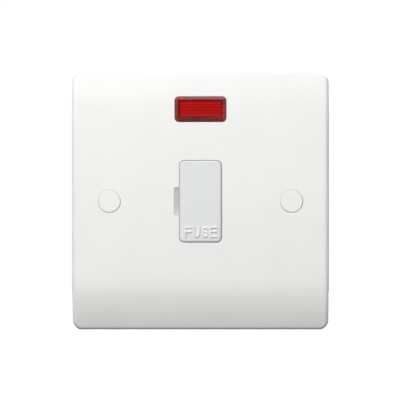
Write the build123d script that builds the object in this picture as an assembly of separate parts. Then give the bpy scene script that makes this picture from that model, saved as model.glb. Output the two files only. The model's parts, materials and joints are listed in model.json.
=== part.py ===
"""Unswitched fused connection unit with a neon indicator, for a single wall box.

Millimetres. X runs to the right, Y runs back into the wall and Z runs up. The origin is the middle of
the plate on the wall plane, halfway between the two box screws. The face of the plate looks along -Y.
"""

import os
from math import sqrt

from build123d import *

# Front plate
PLATE_WIDTH = 85.0
PLATE_HEIGHT = 85.0
PLATE_CORNER = 3.15
PLATE_PROJECTION = 9.0
FLAT_BAND = 48.5
EDGE_DROP = 4.0
EDGE_ROUND = 1.5
WALL = 2.4
RIB = 1.2
RIB_HEIGHT = 1.7

# Box screws, their seats and the caps over them
BOX_SCREW_SPACING = 60.3
BOX_SCREW_DIAMETER = 3.5
BOX_SCREW_NECK = 2.8
BOX_SCREW_HEAD = 6.4
BOX_SCREW_DOME = 0.8
BOX_SCREW_REACH = 19.0
BOX_SCREW_THREAD_GAP = 0.5
BOX_SCREW_CLEARANCE = 0.25
SCREW_SLOT = 0.9
CAP_DIAMETER = 7.5
CAP_THICKNESS = 1.2
CAP_PROUD = 0.25
CAP_ROUND = 0.45
CAP_SKIRT = 1.4
CAP_SKIRT_WALL = 0.9
CAP_GAP = 0.05
CAP_GRIP = 0.05
SEAT_DEPTH = 3.6
BOSS_WALL = 1.4
BOSS_CLEAR_OF_WALL = 1.5

# Fuse, of the common plug-top size
FUSE_DIAMETER = 6.35
FUSE_CAP_LENGTH = 6.1
FUSE_CAP_WALL = 0.3

# Fuse carrier
CARRIER_WIDTH = 14.05
CARRIER_HEIGHT = 27.1
CARRIER_END = 0.85
CARRIER_CORNER = 1.65
CARRIER_PROUD = 0.3
CARRIER_FACE = 2.4
CARRIER_ROUND = 0.8
CARRIER_GAP = 0.1
CHEEK = 1.2
CHEEK_HEIGHT = 22.0
CHEEK_CLEARANCE = 0.05
CHEEK_SETBACK = 0.8
END_TAB = 0.55
END_TAB_WIDTH = 9.0
END_TAB_SHORT = 1.0
FUSE_PLAY = 0.15
FUSE_SETBACK = 9.4
SADDLE_RIB = 2.4
SADDLE_GAP = 0.9
SADDLE_GRIP = 1.7
SADDLE_CLEARANCE = 0.05
LEVER_SLOT_HEIGHT = 6.0
LEVER_SLOT_DEPTH = 1.1
LEVER_SLOT_WIDTH = 1.1

# Collar that guides the carrier, and the notch beside it for a screwdriver
COLLAR_WALL = 1.6
NOTCH_WIDTH = 1.75
NOTCH_HEIGHT = 9.3
NOTCH_DEPTH = 1.9
NOTCH_LIP = 0.35

# Fuse clips and links, folded from strip
STRIP = 0.7
STRIP_BEND = 0.5
JAW_WIDTH = 5.0
JAW_CLEARANCE = 0.1
JAW_FLARE = 0.9
JAW_FLARE_LENGTH = 1.3
JAW_LEAD = 2.6
WEB_GAP = 1.525
TAIL_WIDTH = 3.1
COLLAR_SEAT_GAP = 0.1
STAKE_DIAMETER = 2.0
STAKE_HEAD = 3.2
STAKE_HEAD_HEIGHT = 0.6
STAKE_CLEARANCE = 0.1

# Terminals and their screws
TERMINAL_WIDTH = 9.0
TERMINAL_HEIGHT = 9.0
TERMINAL_DEPTH = 8.5
TERMINAL_CHAMFER = 0.5
CORRIDOR = 3.175
WIRE_DIAMETER = 4.6
WIRE_SETBACK = 3.5
RIVET_DIAMETER = 1.8
RIVET_HEAD = 2.8
RIVET_HEAD_HEIGHT = 0.6
TERMINAL_SCREW_DIAMETER = 4.0
TERMINAL_SCREW_LENGTH = 6.1
TERMINAL_SCREW_HEAD = 5.6
TERMINAL_SCREW_HEAD_HEIGHT = 2.4
TERMINAL_SCREW_BACKED_OUT = 0.2
THREAD_CLEARANCE = 0.05
EARTH_WIDTH = 19.0
EARTH_HEIGHT = 8.0
EARTH_SCREW_SPACING = 10.0
EARTH_OFFSET = 2.8

# Rear base
BASE_WALL = 1.6
BASE_FLOOR = 2.0
BASE_CORNER = 2.0
BASE_FRONT_GAP = 0.4
BOSS_CLEARANCE = 0.5
PLATFORM_HEIGHT = 4.1
PLATFORM_RIB = 1.6
PLATFORM_RIB_SPACING = 7.2
POCKET_GAP = 0.15
POCKET_RIB = 1.2
POCKET_RIB_HEIGHT = 7.0
TURRET_WALL = 1.2
TURRET_MARGIN = 0.6
TURRET_CLEARANCE = 0.3
WIRE_ENTRY_MARGIN = 0.5
TONGUE_WIDTH = 19.4
TONGUE_THICKNESS = 1.0

# Screws that hold the base to the plate
BASE_SCREW_OFFSET = 1.0
BASE_SCREW_Z = 7.0
BASE_SCREW_DIAMETER = 2.8
BASE_SCREW_HEAD = 5.6
BASE_SCREW_HEAD_HEIGHT = 2.2
BASE_SCREW_BITE = 3.2
BASE_SCREW_CLEARANCE = 0.3
PILOT_CLEARANCE = 0.05
PILLAR_WALL = 1.1
PILLAR_SEAT = 9.0
POST_WALL = 1.65
POST_HEIGHT = 4.6

# Neon indicator
NEON_FROM_TOP = 12.0
LENS_WIDTH = 17.0
LENS_HEIGHT = 8.4
LENS_CORNER = 1.4
LENS_GAP = 0.1
LENS_PROUD = 1.0
LENS_BEVEL = 1.0
LENS_SIDE = 1.9
LENS_FRONT = 1.6
LENS_RIBS = 5
LENS_RIB_PITCH = 0.93
LENS_RIB_RADIUS = 0.4
FLANGE_RIM = 1.1
FLANGE_THICKNESS = 2.2
FLANGE_GAP = 0.05
FRAME_GAP = 0.15
FRAME_WALL = 0.9
FRAME_CLEARANCE = 0.3
HOLDER_THICKNESS = 3.4
LAMP_DIAMETER = 3.8
LAMP_LENGTH = 11.0
LAMP_GLASS = 0.45
LAMP_SEAL = 1.5
LAMP_SETBACK = 0.8
LAMP_CLEARANCE = 0.1
ELECTRODE_DIAMETER = 0.7
ELECTRODE_SPACING = 1.3
ELECTRODE_LENGTH = 8.0
LEAD_DIAMETER = 0.9
LEAD_BEND = 1.2
LEAD_SPACING = 1.5
LEAD_STRIP = 1.5
LEAD_GROOVE_MARGIN = 0.25
RESISTOR_DIAMETER = 2.4
RESISTOR_LENGTH = 6.4
RESISTOR_WAIST = 0.25

# Depths, counted back from the face of the plate
FRONT = -PLATE_PROJECTION
INNER = FRONT + WALL
FACE_RADIUS = ((PLATE_HEIGHT - FLAT_BAND) ** 2 / 4 + EDGE_DROP**2) / (2 * EDGE_DROP)
CARRIER_FRONT = FRONT - CARRIER_PROUD
CARRIER_BACK = CARRIER_FRONT + CARRIER_FACE
FUSE_Y = CARRIER_BACK + FUSE_SETBACK
WEB_FRONT = FUSE_Y + FUSE_DIAMETER / 2 + WEB_GAP
PLATFORM = WEB_FRONT + STRIP
COLLAR_END = WEB_FRONT - COLLAR_SEAT_GAP
RIVET_Y = WEB_FRONT - STRIP_BEND - STAKE_CLEARANCE - RIVET_HEAD / 2
TAIL_END = RIVET_Y - RIVET_HEAD / 2 - STAKE_CLEARANCE
CHEEK_END = COLLAR_END - CHEEK_SETBACK
FLOOR = PLATFORM + PLATFORM_HEIGHT
BASE_REAR = FLOOR + BASE_FLOOR
BASE_FRONT = INNER + RIB_HEIGHT + BASE_FRONT_GAP
TERMINAL_FRONT = FLOOR - TERMINAL_DEPTH
WIRE_Y = TERMINAL_FRONT + WIRE_SETBACK
SCREW_TIP = WIRE_Y + WIRE_DIAMETER / 2 + TERMINAL_SCREW_BACKED_OUT
SCREW_HEAD_SEAT = SCREW_TIP + TERMINAL_SCREW_LENGTH
SCREW_HEAD_END = SCREW_HEAD_SEAT + TERMINAL_SCREW_HEAD_HEIGHT
TURRET_END = SCREW_HEAD_END + TURRET_MARGIN
POST_END = INNER + POST_HEIGHT
PILLAR_LEDGE = POST_END + PILLAR_SEAT
LENS_REAR = INNER + FLANGE_THICKNESS
HOLDER_REAR = LENS_REAR + HOLDER_THICKNESS
FRAME_REAR = LENS_REAR + HOLDER_THICKNESS / 2
LAMP_Y = LENS_REAR + LAMP_SETBACK
CAP_SEAT = FRONT + SEAT_DEPTH

# Places across the plate
NEON_Z = PLATE_HEIGHT / 2 - NEON_FROM_TOP
FUSE_LENGTH = CARRIER_HEIGHT - 2 * CARRIER_END
SADDLE_SPACING = FUSE_LENGTH - 2 * (FUSE_CAP_LENGTH + SADDLE_GAP) - SADDLE_RIB
COLLAR_X = CARRIER_WIDTH / 2 + CARRIER_GAP + COLLAR_WALL
COLLAR_Z = CARRIER_HEIGHT / 2 + CARRIER_GAP + COLLAR_WALL
TERMINAL_INNER_X = COLLAR_X + CORRIDOR
TERMINAL_X = TERMINAL_INNER_X + TERMINAL_WIDTH / 2
TERMINAL_OUTER_X = TERMINAL_INNER_X + TERMINAL_WIDTH
TAIL_Z = FUSE_LENGTH / 2 + FUSE_PLAY
TERMINAL_LOW_Z = TAIL_Z + FUSE_PLAY
TERMINAL_Z = TERMINAL_LOW_Z + TERMINAL_HEIGHT / 2
TERMINAL_HIGH_Z = TERMINAL_LOW_Z + TERMINAL_HEIGHT
RIVET_Z = TAIL_Z + TAIL_WIDTH / 2
EARTH_HIGH_Z = -(COLLAR_Z + EARTH_OFFSET)
EARTH_Z = EARTH_HIGH_Z - EARTH_HEIGHT / 2
EARTH_LOW_Z = EARTH_HIGH_Z - EARTH_HEIGHT
BASE_X = TERMINAL_OUTER_X + POCKET_GAP + BASE_WALL
BASE_HIGH_Z = TERMINAL_HIGH_Z + POCKET_GAP + BASE_WALL
EARTH_BAY_X = EARTH_WIDTH / 2 + POCKET_GAP + BASE_WALL
EARTH_BAY_LOW_Z = EARTH_LOW_Z - POCKET_GAP - BASE_WALL
BASE_SCREW_X = TERMINAL_X + BASE_SCREW_OFFSET
PILLAR_RADIUS = BASE_SCREW_HEAD / 2 + BASE_SCREW_CLEARANCE + PILLAR_WALL
JAW_Z = FUSE_LENGTH / 2 - FUSE_CAP_LENGTH / 2
JAW_X = FUSE_DIAMETER / 2 + JAW_CLEARANCE
BOX_SCREW_X = BOX_SCREW_SPACING / 2
CAP_BORE = CAP_DIAMETER / 2 + CAP_GAP
BOSS_RADIUS = CAP_BORE + BOSS_WALL
FRAME_X = LENS_WIDTH / 2 + FLANGE_RIM + FRAME_GAP
FRAME_Z = LENS_HEIGHT / 2 + FLANGE_RIM + FRAME_GAP
LEAD_INNER_X = LAMP_LENGTH / 2 + LEAD_SPACING
LEAD_OUTER_X = LEAD_INNER_X + LEAD_SPACING
LEAD_SOLDER_X = TERMINAL_INNER_X + LEAD_SPACING

SIDES = {"left": -1, "right": 1}
LEVELS = {"supply": 1, "load": -1}


def block(xs, ys, zs):
    """A box between two values on each axis, given in either order."""
    spans = [(min(pair), max(pair)) for pair in (xs, ys, zs)]
    middle = [(low + high) / 2 for low, high in spans]
    return Pos(*middle) * Box(*[high - low for low, high in spans])


def rod(axis, radius, across, along):
    """A cylinder along axis X, Y or Z. across is its place on the other two axes, in X, Y, Z order."""
    low, high = min(along), max(along)
    middle = (low + high) / 2
    first, second = across
    place, turn = {
        "X": ((middle, first, second), Rot(0, 90, 0)),
        "Y": ((first, middle, second), Rot(90, 0, 0)),
        "Z": ((first, second, middle), Rot(0, 0, 0)),
    }[axis]
    return Pos(*place) * turn * Cylinder(radius, high - low)


def panel(outline, ys):
    """A flat outline, drawn as seen from the front, carried from the first depth to the second."""
    rear_plane = Plane(origin=(0, max(ys), 0), x_dir=(1, 0, 0), z_dir=(0, -1, 0))
    return extrude(rear_plane * outline, amount=abs(ys[1] - ys[0]))


def cone(radii, ys, x, z):
    """A cone frustum along Y. radii are at the first and second depth."""
    middle = (ys[0] + ys[1]) / 2
    return Pos(x, middle, z) * Rot(-90, 0, 0) * Cone(radii[0], radii[1], ys[1] - ys[0])


def face_depth(z, offset):
    """Depth of the plate's face at height z, moved outwards by offset."""
    past_flat = abs(z) - FLAT_BAND / 2
    if past_flat <= 0:
        return FRONT - offset
    return FRONT + FACE_RADIUS - sqrt((FACE_RADIUS + offset) ** 2 - past_flat**2)


def behind_face(offset, half_height, half_width, rear):
    """Everything from the plate's face, moved outwards by offset, back to the depth rear."""
    flat = FLAT_BAND / 2
    bend = (flat + half_height) / 2
    low, high = [(face_depth(z, offset), z) for z in (-half_height, half_height)]
    low_flat, high_flat = [(FRONT - offset, z) for z in (-flat, flat)]
    outline = make_face(
        [
            Line((rear, -half_height), low),
            ThreePointArc(low, (face_depth(bend, offset), -bend), low_flat),
            Line(low_flat, high_flat),
            ThreePointArc(high_flat, (face_depth(bend, offset), bend), high),
            Line(high, (rear, half_height)),
            Line((rear, half_height), (rear, -half_height)),
        ]
    )
    return extrude(Plane.YZ * outline, amount=half_width, both=True)


def plate_shell():
    """Curved face with a rim all round, open at the back."""
    half_width, half_height = PLATE_WIDTH / 2, PLATE_HEIGHT / 2
    outline = RectangleRounded(PLATE_WIDTH, PLATE_HEIGHT, PLATE_CORNER)
    outer = behind_face(0, half_height, half_width, 0) & panel(outline, (FRONT, 0))
    rim_start = FRONT + EDGE_DROP / 2
    rim_edges = [
        edge
        for edge in outer.edges()
        if edge.center().Y < 0 and abs(edge.tangent_at(0.5).Y) < 0.9
        and (
            abs(edge.center().X) > half_width - PLATE_CORNER
            or abs(edge.center().Z) > half_height - PLATE_CORNER
        )
        and edge.center().Y < rim_start + EDGE_DROP
    ]
    outer = fillet(rim_edges, EDGE_ROUND)
    inside = RectangleRounded(
        PLATE_WIDTH - 2 * WALL, PLATE_HEIGHT - 2 * WALL, PLATE_CORNER - min(WALL, PLATE_CORNER / 2)
    )
    hollow = behind_face(-WALL, half_height - WALL, half_width - WALL, 0) & panel(inside, (FRONT, 0))
    return outer, outer - hollow


def plate_ribs(outer):
    """Stiffening ribs behind the face, and a rib from each screw boss to the rim."""
    half_width, half_height = PLATE_WIDTH / 2 - WALL, PLATE_HEIGHT / 2 - WALL
    ribs = Part()
    for side in SIDES.values():
        near, far = side * (COLLAR_X - COLLAR_WALL / 2), side * (BOX_SCREW_X - BOSS_RADIUS / 2)
        ribs += block((near, far), (INNER - WALL / 2, INNER + RIB_HEIGHT), (-RIB / 2, RIB / 2))
        ribs += block(
            (side * (BOX_SCREW_X + BOSS_RADIUS / 2), side * (half_width + WALL / 2)),
            (INNER - WALL / 2, -BOSS_CLEAR_OF_WALL),
            (-RIB / 2, RIB / 2),
        )
        middle = side * (BASE_X + RIB)
        ribs += block(
            (middle - RIB / 2, middle + RIB / 2),
            (INNER - WALL / 2, INNER + RIB_HEIGHT),
            (-half_height - WALL / 2, half_height + WALL / 2),
        )
    return ribs & outer


def lever_notch():
    """Scoop beside the carrier that deepens towards it."""
    outer_x = -(CARRIER_WIDTH / 2 + CARRIER_GAP / 2 + NOTCH_WIDTH)
    inner_x = -CARRIER_WIDTH / 2
    front = FRONT - WALL
    lip, deep = (outer_x, FRONT + NOTCH_LIP), (inner_x, FRONT + NOTCH_DEPTH)
    slope = make_face(Polyline((outer_x, front), lip, deep, (inner_x, front), (outer_x, front)))
    return Pos(0, 0, -NOTCH_HEIGHT / 2) * extrude(slope, amount=NOTCH_HEIGHT)


def lens_frame():
    """Short wall behind the face that locates the lens and its holder, notched below for the leads."""
    outer_x, outer_z = FRAME_X + FRAME_WALL, FRAME_Z + FRAME_WALL
    ys = (INNER - WALL / 2, FRAME_REAR)
    outer = block((-outer_x, outer_x), ys, (-outer_z, outer_z))
    inner = block((-FRAME_X, FRAME_X), ys, (-FRAME_Z, FRAME_Z))
    notch = block(
        (LEAD_INNER_X - LEAD_DIAMETER, LEAD_OUTER_X + LEAD_DIAMETER),
        (LENS_REAR, FRAME_REAR),
        (-outer_z, -FRAME_Z),
    )
    return Pos(0, 0, NEON_Z) * (outer - inner - notch)


def make_front_plate():
    outer, plate = plate_shell()
    plate += plate_ribs(outer)
    plate += lens_frame() & outer
    collar = RectangleRounded(2 * COLLAR_X, 2 * COLLAR_Z, CARRIER_CORNER + CARRIER_GAP + COLLAR_WALL)
    plate += panel(collar, (INNER - WALL / 2, COLLAR_END))
    for side in SIDES.values():
        x = side * BOX_SCREW_X
        plate += rod("Y", BOSS_RADIUS, (x, 0), (INNER - WALL / 2, -BOSS_CLEAR_OF_WALL))
        for level in LEVELS.values():
            place = (side * BASE_SCREW_X, level * BASE_SCREW_Z)
            pilot = BASE_SCREW_DIAMETER / 2 + PILOT_CLEARANCE
            plate += rod("Y", pilot + POST_WALL, place, (INNER - WALL / 2, POST_END))
            plate -= rod("Y", pilot, place, (POST_END - BASE_SCREW_BITE - PILOT_CLEARANCE, POST_END))

    # Openings in the face
    aperture = RectangleRounded(
        CARRIER_WIDTH + 2 * CARRIER_GAP, CARRIER_HEIGHT + 2 * CARRIER_GAP, CARRIER_CORNER + CARRIER_GAP
    )
    plate -= panel(aperture, (FRONT - WALL, COLLAR_END))
    plate -= lever_notch()
    window = RectangleRounded(LENS_WIDTH + 2 * LENS_GAP, LENS_HEIGHT + 2 * LENS_GAP, LENS_CORNER + LENS_GAP)
    plate -= panel(Pos(0, NEON_Z) * window, (FRONT - WALL, LENS_REAR))
    for side in SIDES.values():
        x = side * BOX_SCREW_X
        hole = BOX_SCREW_DIAMETER / 2 + BOX_SCREW_CLEARANCE
        rim = BOX_SCREW_HEAD / 2 + BOX_SCREW_CLEARANCE
        plate -= rod("Y", CAP_BORE, (x, 0), (FRONT - WALL, CAP_SEAT))
        plate -= cone((rim, hole), (CAP_SEAT, CAP_SEAT + rim - hole), x, 0)
        plate -= rod("Y", hole, (x, 0), (CAP_SEAT, 0))
    return plate


def make_box_screw(side):
    """Raised countersunk machine screw with a slot, waisted where it passes through the plate."""
    x = side * BOX_SCREW_X
    thread, neck, head = BOX_SCREW_DIAMETER / 2, BOX_SCREW_NECK / 2, BOX_SCREW_HEAD / 2
    seat = CAP_SEAT
    thread_start = BOX_SCREW_THREAD_GAP - BOSS_CLEAR_OF_WALL
    dome_radius = (head**2 + BOX_SCREW_DOME**2) / (2 * BOX_SCREW_DOME)
    dome = Pos(x, seat - BOX_SCREW_DOME + dome_radius, 0) * Sphere(dome_radius)
    screw = dome & rod("Y", head, (x, 0), (seat - BOX_SCREW_DOME, seat))
    screw += cone((head, neck), (seat, seat + head - neck), x, 0)
    screw += rod("Y", neck, (x, 0), (seat, thread_start))
    screw += rod("Y", thread, (x, 0), (thread_start, BOX_SCREW_REACH))
    tip = screw.faces().sort_by(Axis.Y)[-1]
    screw = chamfer(tip.edges(), thread / 3)
    slot_depth = (seat - BOX_SCREW_DOME, seat + BOX_SCREW_DOME / 2)
    return screw - block((x - head, x + head), slot_depth, (-SCREW_SLOT / 2, SCREW_SLOT / 2))


def make_screw_cap(side):
    """Push-in cap: a disc with a rounded edge, and a skirt that grips the recess."""
    x = side * BOX_SCREW_X
    front = FRONT - CAP_PROUD
    back = front + CAP_THICKNESS
    disc = rod("Y", CAP_DIAMETER / 2, (x, 0), (front, back))
    disc = fillet(disc.edges().sort_by(Axis.Y)[0], CAP_ROUND)
    skirt_outer = CAP_BORE - CAP_GRIP
    skirt = rod("Y", skirt_outer, (x, 0), (back, back + CAP_SKIRT))
    skirt -= rod("Y", skirt_outer - CAP_SKIRT_WALL, (x, 0), (back, back + CAP_SKIRT))
    return disc + skirt


def saddle_rib(z):
    """Cross rib of the carrier with a seat that snaps round the barrel of the fuse."""
    barrel = FUSE_DIAMETER / 2 - FUSE_CAP_WALL + SADDLE_CLEARANCE
    half = CARRIER_WIDTH / 2 - CHEEK_CLEARANCE - CHEEK / 2
    zs = (z - SADDLE_RIB / 2, z + SADDLE_RIB / 2)
    rib = block((-half, half), (CARRIER_BACK - CARRIER_FACE / 2, FUSE_Y), zs)
    rib += block((-barrel - CHEEK, barrel + CHEEK), (FUSE_Y, FUSE_Y + SADDLE_GRIP), zs)
    rib -= rod("Z", barrel, (0, FUSE_Y), zs)
    mouth = sqrt(barrel**2 - SADDLE_GRIP**2)
    return rib - block((-mouth, mouth), (FUSE_Y, FUSE_Y + 2 * SADDLE_GRIP), zs)


def make_fuse_carrier():
    """Pull-out carrier: face, two cheeks, saddle ribs for the fuse and a tab at each end of it."""
    outline = RectangleRounded(CARRIER_WIDTH, CARRIER_HEIGHT, CARRIER_CORNER)
    face = panel(outline, (CARRIER_FRONT, CARRIER_BACK))
    carrier = fillet(face.faces().sort_by(Axis.Y)[0].edges(), CARRIER_ROUND)
    cheek_outer = CARRIER_WIDTH / 2 - CHEEK_CLEARANCE
    root = CARRIER_BACK - CARRIER_FACE / 2
    for side in SIDES.values():
        carrier += block(
            (side * (cheek_outer - CHEEK), side * cheek_outer),
            (root, CHEEK_END),
            (-CHEEK_HEIGHT / 2, CHEEK_HEIGHT / 2),
        )
    for level in LEVELS.values():
        tab = level * (FUSE_LENGTH / 2 + FUSE_PLAY)
        carrier += block(
            (-END_TAB_WIDTH / 2, END_TAB_WIDTH / 2),
            (root, FUSE_Y + FUSE_DIAMETER / 2 - END_TAB_SHORT),
            (tab, tab + level * END_TAB),
        )
        carrier += saddle_rib(level * SADDLE_SPACING / 2)
    lever_slot = block(
        (-CARRIER_WIDTH / 2, -CARRIER_WIDTH / 2 + LEVER_SLOT_WIDTH),
        (CARRIER_BACK - LEVER_SLOT_DEPTH, CARRIER_BACK + LEVER_SLOT_DEPTH),
        (-LEVER_SLOT_HEIGHT / 2, LEVER_SLOT_HEIGHT / 2),
    )
    return carrier - lever_slot


def make_fuse_barrel():
    half = FUSE_LENGTH / 2 - FUSE_CAP_WALL
    return rod("Z", FUSE_DIAMETER / 2 - FUSE_CAP_WALL, (0, FUSE_Y), (-half, half))


def make_fuse_cap(level):
    """Drawn metal cup on one end of the fuse."""
    end = level * FUSE_LENGTH / 2
    mouth = end - level * FUSE_CAP_LENGTH
    cup = rod("Z", FUSE_DIAMETER / 2, (0, FUSE_Y), (mouth, end))
    cup = fillet(cup.edges().sort_by(Axis.Z)[-1 if level > 0 else 0], FUSE_CAP_WALL)
    bore = FUSE_DIAMETER / 2 - FUSE_CAP_WALL
    return cup - rod("Z", bore, (0, FUSE_Y), (mouth, end - level * FUSE_CAP_WALL))


def thick_strip(points, zs):
    """Folded strip whose centre line runs through points (X, Y), as wide as zs."""
    line = FilletPolyline(*points, radius=STRIP_BEND + STRIP / 2)
    section = trace(line, STRIP)
    low, high = min(zs), max(zs)
    return Pos(0, 0, low) * extrude(section, amount=high - low)


def make_fuse_clip(level):
    """Clip for one fuse cap: two jaws, a web staked to the base and a tail riveted to its terminal."""
    jaw_z = level * JAW_Z
    web_y = WEB_FRONT + STRIP / 2
    jaw_x = JAW_X + STRIP / 2
    mouth_y = FUSE_Y - JAW_LEAD
    lip = (jaw_x + JAW_FLARE, mouth_y - JAW_FLARE_LENGTH)
    jaws = thick_strip(
        [(-lip[0], lip[1]), (-jaw_x, mouth_y), (-jaw_x, web_y), (jaw_x, web_y), (jaw_x, mouth_y), lip],
        (jaw_z - JAW_WIDTH / 2, jaw_z + JAW_WIDTH / 2),
    )
    flange_x = TERMINAL_INNER_X - STRIP / 2
    tail_zs = (level * TAIL_Z, level * (TAIL_Z + TAIL_WIDTH))
    tail = thick_strip(
        [(-JAW_X + STRIP_BEND, web_y), (flange_x, web_y), (flange_x, TAIL_END)], tail_zs
    )
    web_x = JAW_X - STRIP_BEND
    web = block((-web_x, web_x), (WEB_FRONT, PLATFORM), (level * JAW_Z, level * (TAIL_Z + TAIL_WIDTH)))
    clip = jaws + tail + web
    clip -= rod("Y", STAKE_DIAMETER / 2 + STAKE_CLEARANCE, (0, jaw_z), (WEB_FRONT, PLATFORM))
    rivet = RIVET_DIAMETER / 2 + STAKE_CLEARANCE
    return clip - rod("X", rivet, (RIVET_Y, level * RIVET_Z), (flange_x - STRIP, flange_x + STRIP))


def clamp_block(xs, zs, wires, screws):
    """Brass block with a hole for each wire along Z and a tapped hole for each screw from the back."""
    brass = block(xs, (TERMINAL_FRONT, FLOOR), zs)
    brass = chamfer(brass.edges().filter_by(Axis.Z), TERMINAL_CHAMFER)
    for x in wires:
        brass -= rod("Z", WIRE_DIAMETER / 2, (x, WIRE_Y), zs)
    for place in screws:
        tapped = TERMINAL_SCREW_DIAMETER / 2 + THREAD_CLEARANCE
        brass -= rod("Y", tapped, place, (WIRE_Y, FLOOR))
    return brass


def make_terminal(side, level):
    """Block for one live or neutral wire, with a riveted spigot towards the middle of the unit."""
    inner = side * TERMINAL_INNER_X
    x, z = side * TERMINAL_X, level * TERMINAL_Z
    zs = (level * TERMINAL_LOW_Z, level * TERMINAL_HIGH_Z)
    brass = clamp_block((inner, side * TERMINAL_OUTER_X), zs, [x], [(x, z)])
    spigot_end = inner - side * (STRIP + STAKE_CLEARANCE)
    spigot_at = (RIVET_Y, level * RIVET_Z)
    brass += rod("X", RIVET_DIAMETER / 2, spigot_at, (spigot_end, inner + side * TERMINAL_CHAMFER))
    brass += rod("X", RIVET_HEAD / 2, spigot_at, (spigot_end - side * RIVET_HEAD_HEIGHT, spigot_end))
    return brass - solder_hole(side, level)


def solder_hole(side, level):
    """Small blind hole in the front of a block, where an indicator lead is soldered in."""
    depth = (TERMINAL_FRONT, TERMINAL_FRONT + LEAD_STRIP)
    return rod("Y", LEAD_DIAMETER / 2, (side * LEAD_SOLDER_X, level * TERMINAL_Z), depth)


def make_neutral_link():
    """Strip that joins the two neutral blocks."""
    x = -TERMINAL_INNER_X
    end = RIVET_Z + TAIL_WIDTH / 2
    link = block((x, x + STRIP), (TAIL_END, PLATFORM), (-end, end))
    link = fillet(link.edges().filter_by(Axis.X), STRIP_BEND)
    for level in LEVELS.values():
        rivet = RIVET_DIAMETER / 2 + STAKE_CLEARANCE
        link -= rod("X", rivet, (RIVET_Y, level * RIVET_Z), (x - STRIP, x + 2 * STRIP))
    return link


def earth_screw_places():
    return {name: (side * EARTH_SCREW_SPACING / 2, EARTH_Z) for name, side in SIDES.items()}


def make_earth_terminal():
    places = list(earth_screw_places().values())
    half = EARTH_WIDTH / 2
    return clamp_block((-half, half), (EARTH_LOW_Z, EARTH_HIGH_Z), [x for x, _ in places], places)


def make_terminal_screw(x, z):
    """Cheese-head clamping screw, shown backed out so that its hole is clear for a wire."""
    screw = rod("Y", TERMINAL_SCREW_DIAMETER / 2, (x, z), (SCREW_TIP, SCREW_HEAD_SEAT))
    screw = chamfer(screw.faces().sort_by(Axis.Y)[0].edges(), TERMINAL_CHAMFER)
    head = rod("Y", TERMINAL_SCREW_HEAD / 2, (x, z), (SCREW_HEAD_SEAT, SCREW_HEAD_END))
    screw += fillet(head.faces().sort_by(Axis.Y)[-1].edges(), TERMINAL_CHAMFER)
    half = TERMINAL_SCREW_HEAD / 2
    slot_depth = (SCREW_HEAD_END - TERMINAL_SCREW_HEAD_HEIGHT / 2, SCREW_HEAD_END)
    return screw - block((x - half, x + half), slot_depth, (z - SCREW_SLOT / 2, z + SCREW_SLOT / 2))


def base_outline(shrink):
    """Outline of the base as seen from the front: the main bay and the earth bay below it."""
    low = EARTH_BAY_LOW_Z + shrink
    main = Rectangle(2 * (BASE_X - shrink), 2 * (BASE_HIGH_Z - shrink))
    outline = main + Pos(0, low / 2) * Rectangle(2 * (EARTH_BAY_X - shrink), -low)
    if shrink:
        return outline
    corners = [v for v in outline.vertices() if abs(v.X) > EARTH_BAY_X or v.Y < -BASE_HIGH_Z]
    return fillet(corners, BASE_CORNER)


def screw_turret(x, z):
    """Tube behind the floor that guards a terminal screw and keeps it captive."""
    bore = TERMINAL_SCREW_HEAD / 2 + TURRET_CLEARANCE
    ys = (FLOOR, TURRET_END)
    return rod("Y", bore + TURRET_WALL, (x, z), ys), rod("Y", bore, (x, z), ys)


def pocket_ribs(side, level):
    """Low walls on the two open sides of a terminal's corner of the base."""
    shelf = level * (TERMINAL_LOW_Z - POCKET_GAP)
    inner = side * (TERMINAL_INNER_X - POCKET_GAP)
    span = (side * (TERMINAL_INNER_X + POCKET_GAP), side * (BASE_X - BASE_WALL / 2))
    ribs = block(span, (FLOOR - POCKET_RIB_HEIGHT, FLOOR), (shelf - level * POCKET_RIB, shelf))
    low_rib = (PLATFORM + POCKET_GAP, FLOOR)
    end = level * (BASE_HIGH_Z - BASE_WALL / 2)
    return ribs + block((inner - side * POCKET_RIB, inner), low_rib, (shelf, end))


def clip_platform(level):
    """Two ribs under the web of a fuse clip, and the stake that holds it."""
    half_rib = PLATFORM_RIB / 2
    zs = (level * (JAW_Z - JAW_WIDTH / 2), level * (TAIL_Z + TAIL_WIDTH))
    seat = Part()
    for side in SIDES.values():
        x = side * PLATFORM_RIB_SPACING / 2
        seat += block((x - half_rib, x + half_rib), (PLATFORM, FLOOR), zs)
    stake = (0, level * JAW_Z)
    seat += rod("Y", STAKE_HEAD / 2, stake, (PLATFORM, FLOOR))
    seat += rod("Y", STAKE_DIAMETER / 2, stake, (WEB_FRONT, PLATFORM))
    head = (WEB_FRONT - STAKE_HEAD_HEIGHT, WEB_FRONT)
    return seat + rod("Y", STAKE_HEAD / 2, stake, head)


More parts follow.
